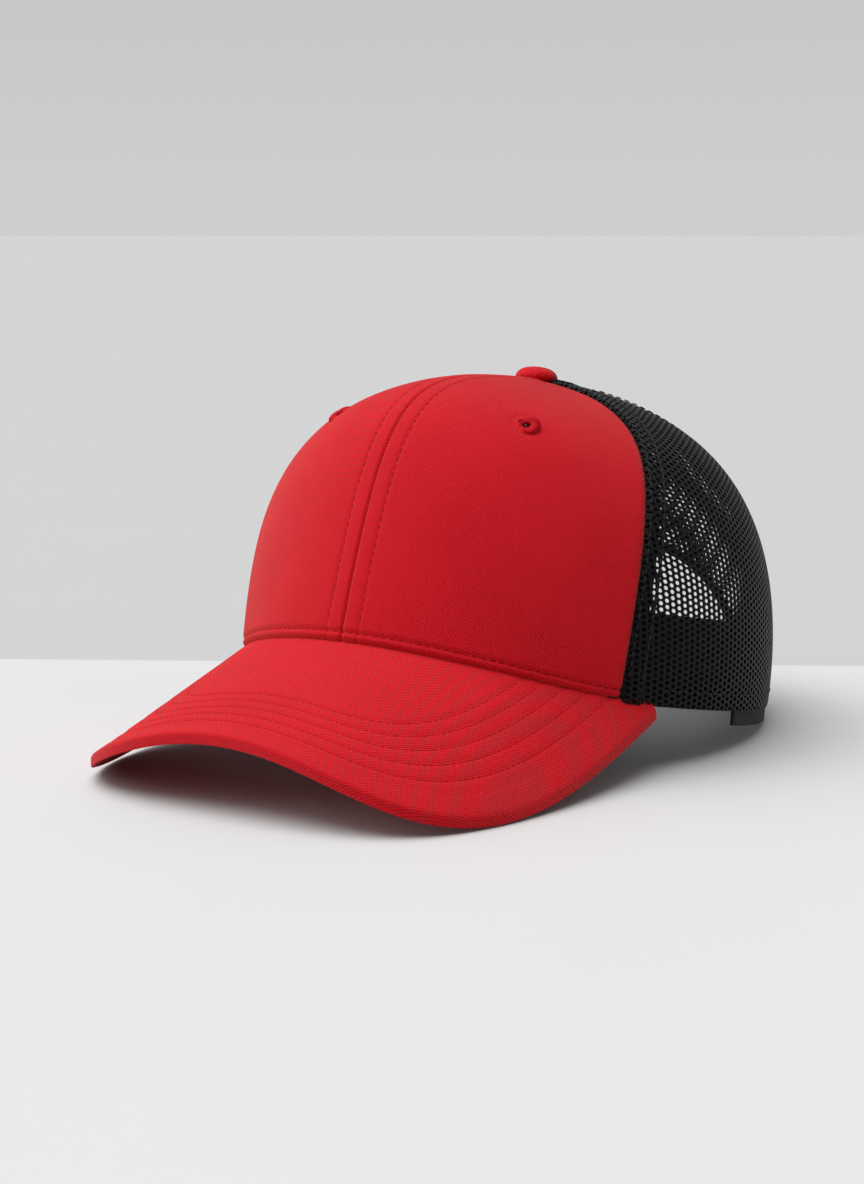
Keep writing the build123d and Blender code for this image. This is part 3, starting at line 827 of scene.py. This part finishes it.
def visorTopWhere(u, v):
    # from the root's lower edge, up, out over the top, and round the rim to the underside
    radius = visor["thickness"] / 2
    fraction = u * 2 - 1
    rootX, rootY = ovalPoint(np.abs(fraction) * rootAngle, visor["rootInset"])
    rootX = rootX * np.sign(fraction)
    closing, top = visor["rootShare"], visor["topShare"]
    w = np.clip((v - closing) / (top - closing), 0, 1)
    turn = np.clip((v - top) / (1 - top), 0, 1) * math.pi * visor["wrap"]
    margin = radius - radius * np.abs(np.sin(turn)) ** visor["edgePower"]
    outX, outY = np.zeros_like(u), np.zeros_like(u)
    for value in np.unique(np.round(margin, 4)):
        pick = np.round(margin, 4) == value
        outX[pick], outY[pick] = visorEdge(fraction[pick], value)
    spread = w ** visor["spread"]
    x, y = rootX + (outX - rootX) * spread, rootY + (outY - rootY) * spread
    power = visor["edgePower"] + visor["endSoftness"] * np.abs(fraction) ** 8
    rim = radius - radius * np.sign(np.cos(turn)) * np.abs(np.cos(turn)) ** power
    drop = np.where(v < closing, visor["thickness"] * (1 - v / closing), rim)
    drop = drop + np.where(v >= closing, visorDip(x, y) * (turn < 0.2), 0)
    lift = np.clip(1 - visorMargin(x, y) / visor["rimWidth"], 0, 1) ** 0.5
    lift = lift * np.clip(1 - drop / radius, 0, 1)
    return visorPoint(x, y, drop - visor["rimLift"] * lift * (v >= closing))


def visorUnderWhere(u, v):
    fraction = 1 - u * 2
    rootX, rootY = ovalPoint(np.abs(fraction) * rootAngle, visor["rootInset"])
    rootX = rootX * np.sign(fraction)
    outX, outY = visorEdge(fraction, visor["thickness"] / 2 - 0.1)
    spread = v ** visor["spread"]
    x, y = rootX + (outX - rootX) * spread, rootY + (outY - rootY) * spread
    dip = visorDip(x, y) - visor["underSeam"] * bumpAt(visorMargin(x, y), 1.7, 0.6)
    return visorPoint(x, y, visor["thickness"] - 0.02 - dip * visor["underShare"])


def visorFlat(where):
    # the cloth's own millimetres, across the curl, and forward and on down the rim
    def flat(u, v):
        point = where(u, v)
        x, y = point[:, 0], point[:, 1] - crown["buttonY"]
        drop = visorTop(x, y) - point[:, 2]
        sideways = (x / visorHalf) ** 4
        across = visor["radius"] * np.arcsin(x / visor["radius"])
        return across + np.sign(x) * drop * sideways, -y + drop * (1 - sideways)
    return flat


visorTopPiece = finishPiece(
    "visor_top_cloth", lay(grid(190, 190), visorTopWhere, visorFlat(visorTopWhere)), redCloth,
    ["visor_top_cover"])
visorUnderPiece = finishPiece(
    "visor_under_cloth", lay(grid(150, 90), visorUnderWhere, visorFlat(visorUnderWhere)), redUnder,
    ["visor_under_cover"])
print("visor made")

# ---- stitches

redStitch = {"pitch": 2.9, "length": 2.1, "width": 0.52, "height": 0.34}
visorStitch = {"pitch": 2.3, "length": 2.1, "width": 0.36, "height": 0.26}
blackStitch = {"pitch": 3.0, "length": 2.3, "width": 0.6, "height": 0.5}
insideStitch = {"pitch": 3.4, "length": 2.5, "width": 0.6, "height": 0.45}
sewn = {
    "sunk": 0.02, "frontSeam": (1.4, 6.6), "rearSeam": (-4.4, 4.4), "hemHeight": 5.6,
    "bindingInset": 0.9, "bandHeights": (3.0, 27.8), "tapeEdge": 4.8, "narrowEdge": 3.4,
    "proud": 0.2, "bandProud": 0.32,
}
sewing = bmesh.new()
ts = np.linspace(0.03, 0.93, 120)


def besideSeam(angleAt, t, distance):
    size = np.hypot(*(crownPoint(angleAt, t)[..., k] - (0, crown["buttonY"])[k] for k in (0, 1)))
    return angleAt + np.degrees(distance / np.maximum(size, 6))


centreRow = bisect(lambda s: crownPoint(s, ts)[:, 0] > front["rowPlace"], 0, 89, ts.shape)
keep = centreRow < seamAngle(crown["frontSeam"], ts) - 4
crownRow(sewing, centreRow[keep], ts[keep], frontDepth(centreRow, ts)[keep] - sewn["sunk"],
         redStitch)
angles = np.linspace(1.0, 58.0, 90)
bottomT = tAtHeight(angles, front["bottomRow"])
crownRow(sewing, angles, bottomT, frontDepth(angles, bottomT) - sewn["sunk"], redStitch)
finishPiece("front_stitches", sewing, redThread)

sewing = bmesh.new()
for row in visor["rows"]:
    x, y = visorEdge(np.linspace(-1, 1, 900), row)
    outside = (x / a) ** 2 + ((y - yc) / b) ** 2 > 1.015
    x, y = x[outside], y[outside]
    under = visor["thickness"] - visor["rowDip"] * visor["underShare"]
    for drop, up in ((visor["rowDip"] - 0.05, 1.0), (under + 0.05, -1.0)):
        points = visorPoint(x, y, drop)
        lean = np.stack([x / visor["radius"], 0 * x - visor["slope"], 1 + 0 * x], axis=-1) * up
        stitchRow(sewing, points, lean, visorStitch)
finishPiece("visor_stitches", sewing, visorThread)

sewing = bmesh.new()
for seam in ("frontSeam", "rearSeam"):
    for gap in sewn[seam]:
        row = besideSeam(seamAngle(crown[seam], ts), ts, gap)
        depth = meshDepth([(abs(gap), fold["front"])]) - 0.15
        crownRow(sewing, row[:-14], ts[:-14], depth, blackStitch)
backT = np.linspace(archTop + 0.03, 0.86, 70)
backGap = sewn["rearSeam"][1]
crownRow(sewing, 180 - besideSeam(0 * backT, backT, backGap), backT, -0.35, blackStitch)
angles = np.linspace(rootAngle + 2, archEnd - 1, 200)
crownRow(sewing, angles, tAtHeight(angles, sewn["hemHeight"]), -0.1, blackStitch)
turns = np.linspace(7, 173, 200)
inset = arch["binding"] - sewn["bindingInset"]
edge = archPoint(turns, inset, -0.42)
stitchRow(sewing, edge, archPoint(turns, inset, -1.42) - edge, blackStitch)
finishPiece("mesh_stitches", sewing, blackThread)

# rows on the inside: the sweatband's edge and the tapes
sewing = bmesh.new()
angles = np.linspace(0.5, band["end"] - 1, 160)
bandDepth = band["depth"] + band["wall"] + sewn["bandProud"]
for height in sewn["bandHeights"]:
    crownRow(sewing, angles, tAtHeight(angles, height), bandDepth, insideStitch)
tapeDepth = tape["depth"] + tape["wall"] + sewn["proud"]
taped = (("frontSeam", sewn["tapeEdge"], -14), ("rearSeam", sewn["narrowEdge"], -30))
for seam, half, top in taped:
    for side in (-half, half):
        row = besideSeam(seamAngle(crown[seam], ts), ts, side)
        crownRow(sewing, row[30:top], ts[30:top], tapeDepth, insideStitch)
row = bisect(lambda s: crownPoint(s, ts)[:, 0] > sewn["tapeEdge"], 0, 89, ts.shape)
crownRow(sewing, row[20:-12], ts[20:-12], tapeDepth, insideStitch)
finishPiece("inner_stitches", sewing, blackThread)
print("stitches made")

# ---- button

button = {"sink": 0.8, "tilt": 8.0, "steps": 64, "gathers": 16, "gather": 0.10}
profile = [
    (0.0, 4.8), (1.6, 4.74), (3.0, 4.55), (4.4, 4.2), (5.6, 3.65), (6.5, 2.9), (7.05, 2.1),
    (7.28, 1.4), (7.2, 0.8), (6.95, 0.3), (6.6, 0.0), (6.1, -0.1), (5.9, 0.2),
]
dome = bmesh.new()
chain = [dome.verts.new((x, 0, z)) for x, z in profile]
for first, second in zip(chain, chain[1:]):
    dome.edges.new((first, second))
bmesh.ops.spin(dome, geom=dome.verts[:] + dome.edges[:], cent=(0, 0, 0), axis=(0, 0, 1),
               angle=2 * math.pi, steps=button["steps"], use_merge=True)
bmesh.ops.remove_doubles(dome, verts=dome.verts, dist=0.0005)
bmesh.ops.recalc_face_normals(dome, faces=dome.faces)
weave = dome.loops.layers.uv.new("cloth")
for face in dome.faces:
    for loop in face.loops:
        loop[weave].uv = (loop.vert.co.x * mm, loop.vert.co.y * mm)
for vert in dome.verts:
    out = math.hypot(vert.co.x, vert.co.y)
    turn = math.atan2(vert.co.y, vert.co.x)
    gather = max(0.0, 1 - vert.co.z / 2.6) * button["gather"] * math.sin(button["gathers"] * turn)
    if out > 5.5:
        vert.co.x, vert.co.y = (c * (1 + gather / out) for c in (vert.co.x, vert.co.y))
bmesh.ops.transform(dome, verts=dome.verts, matrix=Matrix.Translation(
    (0, crown["buttonY"] * mm, (crown["height"] - button["sink"]) * mm)) @ Matrix.Rotation(
    -math.radians(button["tilt"]), 4, "X") @ Matrix.Scale(mm, 4))
finishPiece("button_cloth", dome, redCloth, ["button_cover"])

# ---- CAD parts that stay as they are, with their finishes

kept = {
    "peg_strap": strapPlastic, "hole_strap": strapPlastic, "strap_tab_left": strapPlastic,
    "strap_tab_right": strapPlastic, "button_base": steel, "button_rivet": steel,
    "visor_board": boardPlastic,
}
for name, material in kept.items():
    node = bpy.data.objects[name]
    node.data.materials.clear()
    node.data.materials.append(material)
print("cad finishes set")

# ---- floor, light and camera

studio = {
    "floorReach": 6.0, "backEdge": 0.094, "near": 0.62, "far": 0.49,
    "azimuth": 31.25, "elevation": 7.41, "distance": 0.850, "target": (0.0, 0.04755, 0.070),
    "focal": 2418.35, "at": (536.1, 517.6), "image": (864, 1184), "sensor": 36.0,
}
azimuth, elevation = math.radians(studio["azimuth"]), math.radians(studio["elevation"])
flatBack = Vector((math.sin(azimuth), -math.cos(azimuth), 0))
for name, side, pale in (("floor", 1, studio["near"]), ("floorBehind", -1, studio["far"])):
    floorBm = bmesh.new()
    bmesh.ops.create_grid(floorBm, x_segments=1, y_segments=1, size=studio["floorReach"])
    reach = side * studio["floorReach"] - studio["backEdge"]
    middle = Vector((0, crown["buttonY"] * mm, 0)) + flatBack * reach
    bmesh.ops.transform(floorBm, verts=floorBm.verts, matrix=Matrix.Translation(middle)
                        @ Matrix.Rotation(azimuth, 4, "Z"))
    floorMesh = bpy.data.meshes.new(name)
    floorBm.to_mesh(floorMesh)
    floorBm.free()
    floor = bpy.data.objects.new(name, floorMesh)
    bpy.context.scene.collection.objects.link(floor)
    paper = Recipe(name + "Paper", Roughness=0.7)
    cloud = paper.noise(paper.place(flat=False), 0.01)
    paper.colour(paper.mix(cloud, (pale * 0.985,) * 3, (pale,) * 3))
    floorMesh.materials.append(paper.material)

world = bpy.data.worlds.new("studio")
bpy.context.scene.world = world
world.use_nodes = True
sky = world.node_tree
coord = sky.nodes.new("ShaderNodeTexCoord")
split = sky.nodes.new("ShaderNodeSeparateXYZ")
ramp = sky.nodes.new("ShaderNodeValToRGB")
sky.links.new(coord.outputs["Generated"], split.inputs[0])
sky.links.new(split.outputs["Z"], ramp.inputs[0])
stops = ramp.color_ramp.elements
stops[0].position, stops[0].color = 0.0, (0.62, 0.62, 0.62, 1)
stops[1].position, stops[1].color = 0.12, (0.55, 0.55, 0.555, 1)
sky.links.new(ramp.outputs[0], sky.nodes["Background"].inputs["Color"])
sky.nodes["Background"].inputs["Strength"].default_value = 1.0
soft = sky.nodes.new("ShaderNodeBackground")
soft.inputs["Color"].default_value = (0.9, 0.9, 0.92, 1)
# the room is dimmer on the camera's right, so the cap's far side falls into shade
shade = sky.nodes.new("ShaderNodeVectorMath")
shade.operation = "DOT_PRODUCT"
shade.inputs[1].default_value = (0.75, -0.65, -0.1)
dim = sky.nodes.new("ShaderNodeMath")
dim.operation = "MULTIPLY_ADD"
dim.inputs[1].default_value, dim.inputs[2].default_value = -0.22, 0.32
sky.links.new(coord.outputs["Generated"], shade.inputs[0])
sky.links.new(shade.outputs["Value"], dim.inputs[0])
sky.links.new(dim.outputs[0], soft.inputs["Strength"])
seen = sky.nodes.new("ShaderNodeLightPath")
either = sky.nodes.new("ShaderNodeMixShader")
sky.links.new(seen.outputs["Is Camera Ray"], either.inputs[0])
sky.links.new(soft.outputs[0], either.inputs[1])
sky.links.new(sky.nodes["Background"].outputs[0], either.inputs[2])
sky.links.new(either.outputs[0], sky.nodes["World Output"].inputs[0])

lights = (
    ("keyLight", (-1.3, -0.75, 1.05), 58.0, 1.1), ("topLight", (-0.2, -0.35, 1.5), 60.0, 2.75),
    ("fillLight", (1.4, -0.6, 0.7), 60.0, 0.06),
)
for name, place, angle, power in lights:
    data = bpy.data.lights.new(name, "SUN")
    data.angle, data.energy = math.radians(angle), power
    lamp = bpy.data.objects.new(name, data)
    lamp.location = place
    lamp.rotation_euler = Vector(place).to_track_quat("Z", "Y").to_euler()
    bpy.context.scene.collection.objects.link(lamp)

cameraData = bpy.data.cameras.new("camera")
cameraData.sensor_width = studio["sensor"]
cameraData.lens = studio["focal"] / studio["image"][1] * studio["sensor"]
camera = bpy.data.objects.new("camera", cameraData)
bpy.context.scene.collection.objects.link(camera)
back = Vector((math.sin(azimuth) * math.cos(elevation), -math.cos(azimuth) * math.cos(elevation),
               math.sin(elevation)))
camera.location = Vector(studio["target"]) + back * studio["distance"]
aside = math.atan((studio["at"][0] - studio["image"][0] / 2) / studio["focal"])
above = math.atan((studio["image"][1] / 2 - studio["at"][1]) / studio["focal"])
camera.rotation_euler = (math.pi / 2 - elevation - above, 0, azimuth + aside)
bpy.context.scene.camera = camera
bpy.context.scene.view_settings.view_transform = "Standard"
print("studio made")
